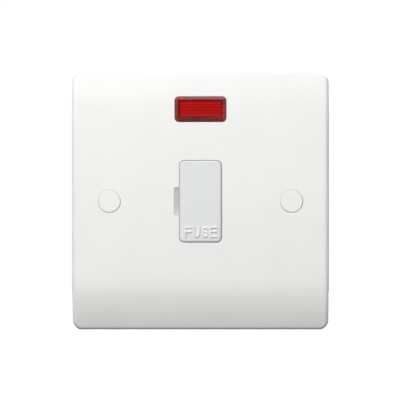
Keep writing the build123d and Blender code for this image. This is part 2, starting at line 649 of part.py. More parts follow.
def make_rear_base():
    """Moulded tray that carries the terminals and fuse clips, screwed to posts behind the plate."""
    base = panel(base_outline(0), (BASE_FRONT, BASE_REAR))
    base -= panel(base_outline(BASE_WALL), (BASE_FRONT, FLOOR))
    barrier = EARTH_HIGH_Z + POCKET_GAP
    low_wall = (FLOOR - POCKET_RIB_HEIGHT, FLOOR)
    base += block((-EARTH_BAY_X, EARTH_BAY_X), low_wall, (barrier, barrier + POCKET_RIB))

    # Tongue that backs the indicator, shallow enough to lie in front of the wall
    top = NEON_Z + LENS_HEIGHT / 2 + FLANGE_RIM
    tongue = (HOLDER_REAR, HOLDER_REAR + TONGUE_THICKNESS)
    base += block((-TONGUE_WIDTH / 2, TONGUE_WIDTH / 2), tongue, (BASE_HIGH_Z - BASE_WALL, top))

    screws = list(earth_screw_places().values())
    for side in SIDES.values():
        for level in LEVELS.values():
            base += pocket_ribs(side, level)
            pillar = (side * BASE_SCREW_X, level * BASE_SCREW_Z)
            base += rod("Y", PILLAR_RADIUS, pillar, (POST_END, BASE_REAR))
            base -= rod("Y", PILLAR_RADIUS - PILLAR_WALL, pillar, (PILLAR_LEDGE, BASE_REAR))
            shank = BASE_SCREW_DIAMETER / 2 + BASE_SCREW_CLEARANCE
            base -= rod("Y", shank, pillar, (POST_END, PILLAR_LEDGE))
            screws.append((side * TERMINAL_X, level * TERMINAL_Z))
    for level in LEVELS.values():
        base += clip_platform(level)
    for x, z in screws:
        tube, bore = screw_turret(x, z)
        base = base + tube - bore

    # Room for the plate's screw bosses, for the lens holder and for the frame round the lens
    for side in SIDES.values():
        boss_end = BOSS_CLEARANCE - BOSS_CLEAR_OF_WALL
        base -= rod("Y", BOSS_RADIUS + BOSS_CLEARANCE, (side * BOX_SCREW_X, 0), (BASE_FRONT, boss_end))
    holder = (NEON_Z - FRAME_Z, PLATE_HEIGHT / 2)
    base -= block((-FRAME_X, FRAME_X), (BASE_FRONT, HOLDER_REAR), holder)
    frame_x = FRAME_X + FRAME_WALL + FRAME_CLEARANCE
    frame_low = NEON_Z - FRAME_Z - FRAME_WALL - FRAME_CLEARANCE
    frame_ys = (BASE_FRONT, FRAME_REAR + FRAME_CLEARANCE)
    base -= block((-frame_x, frame_x), frame_ys, (frame_low, PLATE_HEIGHT / 2))

    # Ways in for the wires, from above and below, and for the two indicator leads
    entry = WIRE_DIAMETER / 2 + WIRE_ENTRY_MARGIN
    for side in SIDES.values():
        x = side * TERMINAL_X
        for level in LEVELS.values():
            way_in = (level * TERMINAL_HIGH_Z, level * (BASE_HIGH_Z + BASE_WALL))
            base -= rod("Z", entry, (x, WIRE_Y), way_in)
        earth_x = side * EARTH_SCREW_SPACING / 2
        base -= rod("Z", entry, (earth_x, WIRE_Y), (EARTH_LOW_Z, EARTH_BAY_LOW_Z - BASE_WALL))
    lead_way = LEAD_DIAMETER / 2 + LEAD_GROOVE_MARGIN
    base -= block(
        (LEAD_INNER_X - lead_way, LEAD_OUTER_X + lead_way),
        (BASE_FRONT, LAMP_Y + lead_way),
        (BASE_HIGH_Z - 2 * BASE_WALL, BASE_HIGH_Z),
    )
    return base


def make_base_screw(side, level):
    """Pan-head self-tapping screw from the back of the base into a post of the plate."""
    place = (side * BASE_SCREW_X, level * BASE_SCREW_Z)
    head = rod("Y", BASE_SCREW_HEAD / 2, place, (PILLAR_LEDGE, PILLAR_LEDGE + BASE_SCREW_HEAD_HEIGHT))
    head = fillet(head.faces().sort_by(Axis.Y)[-1].edges(), BASE_SCREW_HEAD_HEIGHT / 2)
    screw = head + rod("Y", BASE_SCREW_DIAMETER / 2, place, (POST_END - BASE_SCREW_BITE, PILLAR_LEDGE))
    top = PILLAR_LEDGE + BASE_SCREW_HEAD_HEIGHT
    arm = BASE_SCREW_HEAD / 3
    for reach_x, reach_z in ((arm, SCREW_SLOT / 2), (SCREW_SLOT / 2, arm)):
        screw -= block(
            (place[0] - reach_x, place[0] + reach_x),
            (top - BASE_SCREW_HEAD_HEIGHT / 2, top),
            (place[1] - reach_z, place[1] + reach_z),
        )
    return screw


def make_neon_lens():
    """Hollow red lens with a bevelled front, ribs behind it and a flange behind the plate."""
    half_height = PLATE_HEIGHT / 2 - WALL
    raised = RectangleRounded(LENS_WIDTH, LENS_HEIGHT, LENS_CORNER)
    face = behind_face(LENS_PROUD, half_height, LENS_WIDTH, LENS_REAR)
    lens = panel(Pos(0, NEON_Z) * raised, (FRONT - 2 * LENS_PROUD, LENS_REAR)) & face
    front = lens.faces().sort_by(Axis.Y)[0]
    lens = chamfer(front.edges(), LENS_BEVEL)
    rim = RectangleRounded(LENS_WIDTH + 2 * FLANGE_RIM, LENS_HEIGHT + 2 * FLANGE_RIM, LENS_CORNER)
    behind_plate = behind_face(-WALL - FLANGE_GAP, half_height, LENS_WIDTH, LENS_REAR)
    lens += panel(Pos(0, NEON_Z) * rim, (INNER, LENS_REAR)) & behind_plate

    # Hollow with ribs across its front wall
    inside = Rectangle(LENS_WIDTH - 2 * LENS_SIDE, LENS_HEIGHT - 2 * LENS_SIDE)
    wall = behind_face(LENS_PROUD - LENS_FRONT, half_height, LENS_WIDTH, LENS_REAR)
    lens -= panel(Pos(0, NEON_Z) * inside, (FRONT - LENS_PROUD, LENS_REAR)) & wall
    reach = LENS_WIDTH / 2 - LENS_SIDE
    for i in range(LENS_RIBS):
        z = NEON_Z + (i - (LENS_RIBS - 1) / 2) * LENS_RIB_PITCH
        depth = face_depth(z, LENS_PROUD - LENS_FRONT)
        lens += rod("X", LENS_RIB_RADIUS, (depth, z), (-reach, reach))
    return lens


def make_neon_holder():
    """Moulding behind the lens with a trough for the lamp and grooves for its leads."""
    outline = RectangleRounded(LENS_WIDTH + 2 * FLANGE_RIM, LENS_HEIGHT + 2 * FLANGE_RIM, LENS_CORNER)
    holder = panel(Pos(0, NEON_Z) * outline, (LENS_REAR, HOLDER_REAR))
    trough = LAMP_DIAMETER / 2 + LAMP_CLEARANCE
    half = LAMP_LENGTH / 2 + LAMP_CLEARANCE
    holder -= rod("X", trough, (LAMP_Y, NEON_Z), (-half, half))
    holder -= block((-half, half), (LENS_REAR, LAMP_Y), (NEON_Z - trough, NEON_Z + trough))
    groove = LEAD_DIAMETER / 2 + LEAD_GROOVE_MARGIN
    below = NEON_Z - LENS_HEIGHT / 2 - FLANGE_RIM
    for x, z in lead_starts().values():
        depth = (LENS_REAR, LAMP_Y + groove)
        holder -= block((half - groove, x + groove), depth, (z - groove, z + groove))
        holder -= block((x - groove, x + groove), depth, (below, z + groove))
    return holder


def make_neon_lamp():
    """Glass envelope: a tube with a round end and a solid seal that the two wires pass through."""
    radius = LAMP_DIAMETER / 2
    bore = radius - LAMP_GLASS
    half = LAMP_LENGTH / 2
    axis = (LAMP_Y, NEON_Z)
    dome = -half + radius
    outer = rod("X", radius, axis, (dome, half)) + Pos(dome, *axis) * Sphere(radius)
    inner = rod("X", bore, axis, (dome, half - LAMP_SEAL)) + Pos(dome, *axis) * Sphere(bore)
    glass = outer - inner
    for offset in electrode_offsets():
        wire = ELECTRODE_DIAMETER / 2 + THREAD_CLEARANCE
        glass -= rod("X", wire, (LAMP_Y, NEON_Z + offset), (0, half))
    return glass


def electrode_offsets():
    return [ELECTRODE_SPACING / 2, -ELECTRODE_SPACING / 2]


def make_neon_electrodes():
    """The two rods inside the lamp."""
    half = LAMP_LENGTH / 2
    return Compound(
        [
            rod("X", ELECTRODE_DIAMETER / 2, (LAMP_Y, NEON_Z + offset), (half - ELECTRODE_LENGTH, half))
            for offset in electrode_offsets()
        ]
    )


def lead_starts():
    """Where each lead turns downwards beside the lamp: (X, Z)."""
    live, neutral = electrode_offsets()
    return {"live": (LEAD_OUTER_X, NEON_Z + live), "neutral": (LEAD_INNER_X, NEON_Z + neutral)}


def lead(points):
    """Round wire along straight runs joined by arcs."""
    path = FilletPolyline(*points, radius=LEAD_BEND)
    start = Plane(origin=path @ 0, z_dir=path % 0)
    return sweep(start * Circle(LEAD_DIAMETER / 2), path)


def make_live_lead_upper():
    """From the lamp to the resistor."""
    x, z = lead_starts()["live"]
    turn_z = BASE_HIGH_Z - 2 * BASE_WALL
    return lead(
        [
            (LAMP_LENGTH / 2, LAMP_Y, z),
            (x, LAMP_Y, z),
            (x, LAMP_Y, turn_z),
            (LEAD_SOLDER_X, LAMP_Y, turn_z - (LEAD_SOLDER_X - x)),
            (LEAD_SOLDER_X, LAMP_Y, RESISTOR_LENGTH / 2),
        ]
    )


def make_live_lead_lower():
    """From the resistor to the load terminal."""
    end_z = -TERMINAL_Z
    return lead(
        [
            (LEAD_SOLDER_X, LAMP_Y, -RESISTOR_LENGTH / 2),
            (LEAD_SOLDER_X, LAMP_Y, end_z),
            (LEAD_SOLDER_X, TERMINAL_FRONT + LEAD_STRIP, end_z),
        ]
    )


def make_neutral_lead():
    """From the lamp across the top of the collar to the neutral supply terminal."""
    x, z = lead_starts()["neutral"]
    return lead(
        [
            (LAMP_LENGTH / 2, LAMP_Y, z),
            (x, LAMP_Y, z),
            (x, LAMP_Y, TERMINAL_Z),
            (-LEAD_SOLDER_X, LAMP_Y, TERMINAL_Z),
            (-LEAD_SOLDER_X, TERMINAL_FRONT + LEAD_STRIP, TERMINAL_Z),
        ]
    )


def make_neon_resistor():
    """Film resistor with the usual thicker ends."""
    half, radius = RESISTOR_LENGTH / 2, RESISTOR_DIAMETER / 2
    place = (LEAD_SOLDER_X, LAMP_Y)
    body = rod("Z", radius - RESISTOR_WAIST, place, (-half, half))
    for level in LEVELS.values():
        bulge = rod("Z", radius, place, (level * half, level * half / 2))
        body += fillet(bulge.edges().filter_by(GeomType.CIRCLE), RESISTOR_WAIST)
    return body


def all_nodes():
    nodes = {
        "front_plate": make_front_plate(),
        "fuse_carrier": make_fuse_carrier(),
        "fuse_barrel": make_fuse_barrel(),
        "rear_base": make_rear_base(),
        "neutral_link": make_neutral_link(),
        "earth_terminal": make_earth_terminal(),
        "neon_lens": make_neon_lens(),
        "neon_holder": make_neon_holder(),
        "neon_lamp": make_neon_lamp(),
        "neon_electrodes": make_neon_electrodes(),
        "neon_resistor": make_neon_resistor(),
        "neon_live_lead_upper": make_live_lead_upper(),
        "neon_live_lead_lower": make_live_lead_lower(),
        "neon_neutral_lead": make_neutral_lead(),
    }
    for name, side in SIDES.items():
        nodes[f"fixing_screw_{name}"] = make_box_screw(side)
        nodes[f"screw_cap_{name}"] = make_screw_cap(side)
    for level_name, level in LEVELS.items():
        nodes[f"fuse_cap_{level_name}"] = make_fuse_cap(level)
        nodes[f"fuse_clip_{level_name}"] = make_fuse_clip(level)
        for pole, side in {"live": 1, "neutral": -1}.items():
            nodes[f"{pole}_{level_name}_terminal"] = make_terminal(side, level)
            screw = make_terminal_screw(side * TERMINAL_X, level * TERMINAL_Z)
            nodes[f"{pole}_{level_name}_screw"] = screw
        for side_name, side in SIDES.items():
            nodes[f"base_screw_{level_name}_{side_name}"] = make_base_screw(side, level)
    for name, place in earth_screw_places().items():
        nodes[f"earth_screw_{name}"] = make_terminal_screw(*place)
    return nodes


def main():
    os.makedirs("parts", exist_ok=True)
    for name, shape in all_nodes().items():
        export_step(shape, f"parts/{name}.step")


main()
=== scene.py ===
"""Finishes, lettering, screw threads and studio for a fused spur unit.

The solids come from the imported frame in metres: X to the right, Y back into the wall, Z up.
"""

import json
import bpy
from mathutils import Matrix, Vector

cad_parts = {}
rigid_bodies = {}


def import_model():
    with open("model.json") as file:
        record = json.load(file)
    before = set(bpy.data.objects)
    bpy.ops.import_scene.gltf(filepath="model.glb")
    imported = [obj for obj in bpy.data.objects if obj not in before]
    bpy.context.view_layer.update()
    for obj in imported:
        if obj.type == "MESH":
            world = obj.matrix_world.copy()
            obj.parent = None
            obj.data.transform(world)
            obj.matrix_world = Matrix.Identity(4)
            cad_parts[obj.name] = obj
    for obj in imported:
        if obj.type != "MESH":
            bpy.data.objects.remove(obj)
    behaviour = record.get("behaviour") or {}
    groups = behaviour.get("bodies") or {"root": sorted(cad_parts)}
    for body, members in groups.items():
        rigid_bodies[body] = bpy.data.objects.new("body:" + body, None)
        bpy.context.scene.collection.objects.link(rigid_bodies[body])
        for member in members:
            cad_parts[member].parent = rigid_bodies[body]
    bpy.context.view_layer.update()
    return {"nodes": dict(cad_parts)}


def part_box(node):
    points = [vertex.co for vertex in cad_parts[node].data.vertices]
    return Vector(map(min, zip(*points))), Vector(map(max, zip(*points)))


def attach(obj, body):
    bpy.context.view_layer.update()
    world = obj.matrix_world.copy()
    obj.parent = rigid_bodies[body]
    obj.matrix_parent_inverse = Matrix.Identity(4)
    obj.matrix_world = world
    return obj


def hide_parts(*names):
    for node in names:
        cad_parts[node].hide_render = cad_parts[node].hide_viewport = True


bl_info = {
    "name": "Fused Spur Unit",
    "version": (1, 0, 0),
    "blender": (4, 5, 0),
    "location": "View3D > Sidebar > Spur Unit",
    "description": "Finishes a wall-mounted fused connection unit and sets up its studio",
    "category": "Object",
}

from math import cos, pi, radians, sin, tau

import bmesh
import bpy
from mathutils import Matrix, Vector

for leftover in list(bpy.data.objects):
    bpy.data.objects.remove(leftover)
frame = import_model()

MM = 0.001
BODY = "body"
CARRIER = "fuse_carrier"
IMAGE_SIDE = 400

BOX_SCREWS = ["fixing_screw_left", "fixing_screw_right"]
TERMINAL_SCREWS = [
    "live_supply_screw",
    "live_load_screw",
    "neutral_supply_screw",
    "neutral_load_screw",
    "earth_screw_left",
    "earth_screw_right",
]
BASE_SCREWS = [f"base_screw_{level}_{side}" for level in ("supply", "load") for side in ("left", "right")]

# The carrier's letters with their left and right edges, and the marks behind the base with their middles,
# in millimetres
LETTERS = [("F", -5.4, -2.75), ("U", -2.35, -0.05), ("S", 0.5, 2.65), ("E", 2.95, 5.6)]
BASE_MARKS = [
    ("SUPPLY", (0, 12.5)),
    ("LOAD", (0, -12.5)),
    ("L", (10, 17.5)),
    ("L", (10, -17.5)),
    ("N", (-10, 17.5)),
    ("N", (-10, -17.5)),
    ("E", (0, -17)),
]
# Width and spacing of the marks' letters, as shares of their height
MARK_WIDTH = 0.66
MARK_STEP = 1.0
# Points on a curved stroke, less one
ARC_STEPS = 16

# Half sizes of the lens's ribbed window, its soft edge and the pitch of the ribs, in millimetres
WINDOW = (6.6, 2.3)
WINDOW_FADE = 0.3
# The rib pitch also spaces the painted shade lines in the lens's colour
RIB_PITCH = 0.93

# Rise of the turrets behind the base's floor, and how far the plate's side rims lie behind its face,
# in millimetres
TURRET_RISE = 4.6
RIM_DEPTH = 1.5

# Threads: root and tip as shares of the radius, points round them, rings to a turn,
# and the millimetres of plain shank that a head keeps
THREAD_ROOT = 0.78
THREAD_TIP = 0.6
THREAD_SIDES = 40
RINGS_PER_TURN = 10
STUB = 0.03

# Distances in millimetres within which points are merged
WELD = 0.001
LETTER_WELD = 0.0005

# Resistor's bands with their places along it, as shares of its length
RESISTOR_BODY = (0.62, 0.49, 0.31)
RESISTOR_BANDS = [
    (0.2, (0.32, 0.05, 0.03)),
    (0.38, (0.35, 0.03, 0.28)),
    (0.54, (0.55, 0.42, 0.03)),
    (0.76, (0.45, 0.33, 0.12)),
]
BAND_WIDTH = 0.08

# Lamps with their places and diameters, and half the floor's side, in metres
KEY_LAMP = ((-0.38, -0.85, 0.68), 0.7)
FRONT_LAMP = ((-0.1, -1.18, -0.05), 0.6)
BACK_LAMP = ((0.4, 0.9, 0.7), 0.6)
FLOOR_REACH = 0.45
# Light that the camera alone sees on the floor
FLOOR_LIFT = 0.4

BRASS_NODES = [
    "live_supply_terminal",
    "live_load_terminal",
    "neutral_supply_terminal",
    "neutral_load_terminal",
    "earth_terminal",
    "neutral_link",
    "fuse_clip_supply",
    "fuse_clip_load",
]


def colour_property(name, description, default):
    return bpy.props.FloatVectorProperty(
        name=name, description=description, subtype="COLOR", size=3, min=0, max=1, default=default
    )


def length_property(name, description, default):
    return bpy.props.FloatProperty(
        name=name, description=description, subtype="DISTANCE", unit="LENGTH", precision=5, default=default
    )


def power_property(name, description, default):
    return bpy.props.FloatProperty(
        name=name, description=description, subtype="POWER", unit="POWER", default=default
    )


class SpurFinishes(bpy.types.PropertyGroup):
    """Colours of the visible mouldings and metals."""

    plate: colour_property("Plate", "Polished white moulding of the plate and caps", (0.84, 0.84, 0.825))
    carrier: colour_property("Carrier", "Cooler white of the fuse carrier", (0.73, 0.745, 0.74))
    # The letters' colour is the carrier's plastic made lighter: a painted highlight for the light that
    # their raised strokes catch
    letters: colour_property("Letters", "Polished letters on the carrier", (0.84, 0.845, 0.84))
    base: colour_property("Base", "Off-white of the terminal base", (0.62, 0.62, 0.595))
    lens: colour_property("Lens", "Red of the indicator lens", (0.92, 0.012, 0.014))
    brass: colour_property("Brass", "Terminals, clips and link", (0.71, 0.53, 0.25))
    zinc: colour_property("Zinc", "Bright plating of the screws", (0.66, 0.67, 0.68))
    live_sleeve: colour_property("Live sleeve", "Sleeve of the lamp's live lead", (0.16, 0.07, 0.035))
    neutral_sleeve: colour_property("Neutral sleeve", "Sleeve of its neutral lead", (0.03, 0.1, 0.36))


class SpurLettering(bpy.types.PropertyGroup):
    """Raised letters of half-round section: the word on the carrier and the marks behind the base."""

    height: length_property("Height", "Height of the carrier's letters", 3.8 * MM)
    middle: length_property("Middle", "Height of the word's middle line", -10.15 * MM)
    relief: length_property("Relief", "How far the carrier's letters stand off the face", 0.5 * MM)
    stroke: length_property("Stroke", "Width of their strokes", 0.72 * MM)
    mark_height: length_property("Mark height", "Height of the marks behind the base", 2.8 * MM)
    mark_relief: length_property("Mark relief", "How far the marks stand off the base", 0.3 * MM)
    mark_stroke: length_property("Mark stroke", "Width of their strokes", 0.5 * MM)


class SpurThreads(bpy.types.PropertyGroup):
    """Screw threads, which the solids leave plain."""

    box_diameter: length_property("Box screw", "Outer diameter of the box screws' thread", 3.5 * MM)
    box_pitch: length_property("Box screw pitch", "Pitch of the M3.5 screws", 0.6 * MM)
    box_start: length_property("Box screw start", "Depth where the thread starts", -1.0 * MM)
    terminal_diameter: length_property("Terminal screw", "Outer diameter of the clamping screws", 4.0 * MM)
    terminal_pitch: length_property("Terminal pitch", "Pitch of the M4 clamping screws", 0.7 * MM)
    terminal_length: length_property("Terminal thread", "Length of thread below the head", 6.1 * MM)
    base_diameter: length_property("Base screw", "Outer diameter of the self-tapping screws", 2.8 * MM)
    base_pitch: length_property("Base screw pitch", "Pitch of the self-tapping screws", 1.2 * MM)
    base_head: length_property("Base screw head", "Height of the self-tapping screws' heads", 2.2 * MM)


class SpurStudio(bpy.types.PropertyGroup):
    """Camera, lamps and floor."""

    distance: length_property("Distance", "From the lens to the plate's rim", 1.1)
    plate_pixels: bpy.props.FloatProperty(
        name="Plate width in pixels", description="Width of the plate in the picture", default=256.8
    )
    centre_pixels: bpy.props.FloatVectorProperty(
        name="Plate centre in pixels",
        description="Place of the plate's middle in the picture",
        size=2,
        default=(200.5, 201.35),
    )
    key_power: power_property("Key power", "Soft lamp above and to the left", 8.5)
    front_power: power_property("Front power", "Soft lamp in front, half of it below the floor", 7.3)
    back_power: power_property("Back power", "Soft lamp behind, on the terminals", 11.0)
    ambient: bpy.props.FloatProperty(name="Ambient", description="Light from all round", default=0.26)


class SpurSettings(bpy.types.PropertyGroup):
    """All the settings of the unit."""

    finishes: bpy.props.PointerProperty(type=SpurFinishes)
    lettering: bpy.props.PointerProperty(type=SpurLettering)
    threads: bpy.props.PointerProperty(type=SpurThreads)
    studio: bpy.props.PointerProperty(type=SpurStudio)


def settings():
    return bpy.context.scene.spur_unit


def node_object(name):
    return frame["nodes"][name]


def finish(names, material):
    """Gives CAD nodes a finish."""
    for name in names:
        slots = node_object(name).data.materials
        slots.clear()
        slots.append(material)


def add_mesh_object(name, mesh, material=None):
    piece = bpy.data.objects.new(name, mesh)
    bpy.context.scene.collection.objects.link(piece)
    if material:
        piece.data.materials.clear()
        piece.data.materials.append(material)
    return piece


# Node trees


class Wiring:
    """Short ways to add and link the nodes of one tree."""

    def __init__(self, tree):
        self.tree = tree

    def node(self, kind, **values):
        made = self.tree.nodes.new(kind)
        for key, value in values.items():
            setattr(made, key, value)
        return made

    def link(self, output, target):
        self.tree.links.new(output, target)

    def maths(self, operation, first, second=None):
        step = self.node("ShaderNodeMath", operation=operation)
        for index, value in enumerate((first, second)):
            if isinstance(value, (int, float)):
                step.inputs[index].default_value = value
            elif value is not None:
                self.link(value, step.inputs[index])
        return step.outputs[0]

    def ranged(self, value, start, end, low, high, interpolation="LINEAR"):
        """Maps a value that runs from start to end to one that runs from low to high."""
        step = self.node("ShaderNodeMapRange", interpolation_type=interpolation)
        for key, number in (("From Min", start), ("From Max", end), ("To Min", low), ("To Max", high)):
            step.inputs[key].default_value = number
        self.link(value, step.inputs["Value"])
        return step.outputs["Result"]


# Materials


class Finish(Wiring):
    """One material and short ways to add grain, tint and relief to it, all on Object coordinates."""

    def __init__(self, name, roughness, metallic=0.0):
        self.material = bpy.data.materials.new(name)
        self.material.use_nodes = True
        super().__init__(self.material.node_tree)
        self.shader = self.tree.nodes["Principled BSDF"]
        self.shader.inputs["Roughness"].default_value = roughness
        self.shader.inputs["Metallic"].default_value = metallic

    def coordinates(self, stretch=(1, 1, 1)):
        place = self.node("ShaderNodeTexCoord")
        mapping = self.node("ShaderNodeMapping")
        mapping.inputs["Scale"].default_value = stretch
        self.link(place.outputs["Object"], mapping.inputs["Vector"])
        return mapping.outputs["Vector"]

    def grain(self, size, detail=3.0, stretch=(1, 1, 1)):
        """Noise with features of about the given size in metres."""
        noise = self.node("ShaderNodeTexNoise")
        noise.inputs["Scale"].default_value = 1 / size
        noise.inputs["Detail"].default_value = detail
        self.link(self.coordinates(stretch), noise.inputs["Vector"])
        return noise.outputs["Fac"]

    def spread(self, value, low, high, start=0.3, end=0.7):
        return self.ranged(value, start, end, low, high)

    def tint(self, value, dark, light):
        """Base colour between two tones."""
        mix = self.node("ShaderNodeMix", data_type="RGBA")
        mix.inputs["A"].default_value = (*dark, 1)
        mix.inputs["B"].default_value = (*light, 1)
        self.link(self.spread(value, 0, 1), mix.inputs["Factor"])
        self.link(mix.outputs["Result"], self.shader.inputs["Base Color"])

    def rough(self, value, low, high):
        self.link(self.spread(value, low, high), self.shader.inputs["Roughness"])

    def relief(self, value, depth):
        bump = self.node("ShaderNodeBump")
        bump.inputs["Distance"].default_value = depth
        self.link(value, bump.inputs["Height"])
        self.link(bump.outputs["Normal"], self.shader.inputs["Normal"])


def shade(colour, factor):
    return tuple(min(1.0, channel * factor) for channel in colour)


def moulded_plastic(name, colour, roughness, texture_depth):
    """Thermoset moulding: faint flow marks in the colour and the fine skin of a polished tool."""
    made = Finish(name, roughness)
    flow = made.grain(14 * MM, 2.0)
    skin = made.grain(0.35 * MM, 4.0)
    made.tint(flow, shade(colour, 0.985), shade(colour, 1.012))
    made.rough(made.grain(3 * MM, 4.0), roughness * 0.85, roughness * 1.2)
    made.relief(skin, texture_depth)
    made.shader.inputs["IOR"].default_value = 1.5
    made.shader.inputs["Specular IOR Level"].default_value = 0.4
    return made.material


def red_lens_plastic(colour):
    """Clear red plastic, cloudy in its window, with painted shade in dark lines between the ribs behind
    it.
    """
    made = Finish("red_lens", 0.08)
    low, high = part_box("neon_lens")
    place = made.node("ShaderNodeVectorMath", operation="SUBTRACT")
    place.inputs[1].default_value = (low + high) / 2
    made.link(made.coordinates(), place.inputs[0])
    split = made.node("ShaderNodeSeparateXYZ")
    made.link(place.outputs["Vector"], split.inputs["Vector"])
    edges = []
    for axis, reach in (("X", WINDOW[0] * MM), ("Z", WINDOW[1] * MM)):
        away = made.maths("ABSOLUTE", split.outputs[axis])
        edges.append(made.spread(away, 0.0, 1.0, reach - WINDOW_FADE * MM, reach + WINDOW_FADE * MM))
    outside = made.maths("MAXIMUM", *edges)
    # Painted shade: a wave at the ribs' pitch darkens the colour in lines between the ribs inside the
    # window
    ribs = made.maths("COSINE", made.maths("MULTIPLY", split.outputs["Z"], tau / (RIB_PITCH * MM)))
    lines = made.maths("MAXIMUM", made.spread(ribs, 0.0, 1.0, -1.0, 1.0), outside)
    made.tint(lines, shade(colour, 0.5), shade(colour, 0.84))
    made.rough(made.grain(1.2 * MM, 3.0), 0.1, 0.14)
    made.link(made.spread(outside, 0.45, 0.78, 0.0, 1.0), made.shader.inputs["Transmission Weight"])
    made.shader.inputs["IOR"].default_value = 1.49
    return made.material


def lamp_glass():
    made = Finish("lamp_glass", 0.02)
    made.tint(made.grain(4 * MM), (0.93, 0.95, 0.95), (0.98, 0.99, 0.99))
    made.rough(made.grain(2 * MM), 0.01, 0.05)
    made.shader.inputs["Transmission Weight"].default_value = 1.0
    made.shader.inputs["IOR"].default_value = 1.5
    return made.material


def drawn_metal(name, colour, roughness, streak):
    """Plated or machined metal with streaks along one axis and a faint mottle."""
    made = Finish(name, roughness, metallic=1.0)
    made.tint(made.grain(1.6 * MM, 3.0), shade(colour, 0.86), shade(colour, 1.08))
    made.rough(made.grain(0.5 * MM, 3.0, streak), roughness * 0.7, roughness * 1.35)
    made.relief(made.grain(0.12 * MM, 3.0, streak), 0.004 * MM)
    return made.material


def ceramic_tube():
    made = Finish("fuse_ceramic", 0.55)
    made.tint(made.grain(0.25 * MM, 5.0), (0.70, 0.67, 0.60), (0.80, 0.78, 0.72))
    made.relief(made.grain(0.2 * MM, 4.0), 0.01 * MM)
    return made.material


def lacquered_resistor():
    """Beige body with four colour bands round it."""
    made = Finish("resistor_lacquer", 0.35)
    low, high = [corner.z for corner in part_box("neon_resistor")]
    split = made.node("ShaderNodeSeparateXYZ")
    made.link(made.coordinates(), split.inputs["Vector"])
    along = made.spread(split.outputs["Z"], 0, 1, low, high)
    ramp = made.node("ShaderNodeValToRGB")
    ramp.color_ramp.interpolation = "CONSTANT"
    stops = ramp.color_ramp.elements
    stops[0].color = (*RESISTOR_BODY, 1)
    stops.remove(stops[1])
    for start, colour in RESISTOR_BANDS:
        stops.new(start).color = (*colour, 1)
        stops.new(start + BAND_WIDTH).color = (*RESISTOR_BODY, 1)
    made.link(along, ramp.inputs["Fac"])
    made.link(ramp.outputs["Color"], made.shader.inputs["Base Color"])
    made.rough(made.grain(0.6 * MM), 0.28, 0.42)
    return made.material


def sleeve_plastic(name, colour):
    made = Finish(name, 0.4)
    made.tint(made.grain(1.5 * MM), shade(colour, 0.85), shade(colour, 1.15))
    made.rough(made.grain(0.8 * MM), 0.33, 0.5)
    return made.material


# Pieces


def plain_mesh(piece):
    """The piece's evaluated shape as a mesh of its own."""
    evaluated = piece.evaluated_get(bpy.context.evaluated_depsgraph_get())
    return bpy.data.meshes.new_from_object(evaluated)


def arc(middle, radii, start, end):
    """Points on part of an ellipse, with angles in degrees."""
    angles = [radians(start + (end - start) * i / ARC_STEPS) for i in range(ARC_STEPS + 1)]
    return [(middle[0] + radii[0] * cos(angle), middle[1] + radii[1] * sin(angle)) for angle in angles]


def letter_strokes():
    """Centre lines of the letters, each in a box one unit wide and high."""
    stem, top, foot = [(0, 0), (0, 1)], [(0, 1), (1, 1)], [(0, 0), (1, 0)]
    upper, lower = arc((0.5, 0.76), (0.5, 0.24), 25, 270), arc((0.5, 0.26), (0.5, 0.26), 90, -155)
    return {
        "A": [[(0, 0), (0.5, 1)], [(1, 0), (0.5, 1)], [(0.2, 0.34), (0.8, 0.34)]],
        "D": [stem, [(0, 1), *arc((0.4, 0.5), (0.6, 0.5), 90, -90), (0, 0)]],
        "E": [stem, top, [(0, 0.53), (0.88, 0.53)], foot],
        "F": [stem, top, [(0, 0.53), (0.85, 0.53)]],
        "L": [stem, foot],
        "N": [stem, [(0, 1), (1, 0)], [(1, 0), (1, 1)]],
        "O": [arc((0.5, 0.5), (0.5, 0.5), 0, 180), arc((0.5, 0.5), (0.5, 0.5), 180, 360)],
        "P": [stem, [(0, 1), *arc((0.5, 0.74), (0.5, 0.26), 90, -90), (0, 0.48)]],
        "S": [upper + lower[1:]],
        "U": [[(0, 1), *arc((0.5, 0.32), (0.5, 0.32), 180, 360), (1, 1)]],
        "Y": [[(0, 1), (0.5, 0.48)], [(1, 1), (0.5, 0.48)], [(0.5, 0.48), (0.5, 0)]],
    }


def letter_mesh(letter, strokes, span, stroke_width, relief, face_y):
    """One letter of half-round strokes, half sunk in the face. Its span is left, right, foot and top."""
    radius = stroke_width / 2
    left, right, low, high = span
    inset = radius if right > left else -radius
    wide, tall = right - left - 2 * inset, high - low - stroke_width
    curve = bpy.data.curves.new(f"letter_{letter}", "CURVE")
    curve.dimensions = "3D"
    curve.bevel_depth = radius
    curve.bevel_resolution = 4
    curve.use_fill_caps = True
    for stroke in strokes:
        places = [Vector((left + inset + x * wide, 0, low + radius + z * tall)) for x, z in stroke]
        places[0] += (places[0] - places[1]).normalized() * radius
        places[-1] += (places[-1] - places[-2]).normalized() * radius
        spline = curve.splines.new("POLY")
        spline.points.add(len(places) - 1)
        for point, place in zip(spline.points, places):
            point.co = (*place, 1)
    outline = bpy.data.objects.new(f"letter_{letter}", curve)
    bpy.context.scene.collection.objects.link(outline)
    bpy.context.view_layer.update()
    mesh = plain_mesh(outline)
    bpy.data.objects.remove(outline)
    mesh.transform(Matrix.Translation((0, face_y, 0)) @ Matrix.Diagonal((1, relief / radius, 1, 1)))
    return mesh


def raised_letters(name, letters, stroke_width, relief, face_y):
    """Letters with their spans, as one mesh."""
    shape = bmesh.new()
    strokes = letter_strokes()
    for letter, span in letters:
        mesh = letter_mesh(letter, strokes[letter], span, stroke_width, relief, face_y)
        shape.from_mesh(mesh)
        bpy.data.meshes.remove(mesh)
    bmesh.ops.remove_doubles(shape, verts=shape.verts, dist=LETTER_WELD * MM)
    bmesh.ops.recalc_face_normals(shape, faces=shape.faces)
    word_mesh = bpy.data.meshes.new(name)
    shape.to_mesh(word_mesh)
    shape.free()
    word_mesh.shade_smooth()
    word_mesh.set_sharp_from_angle(angle=pi / 4)
    return word_mesh


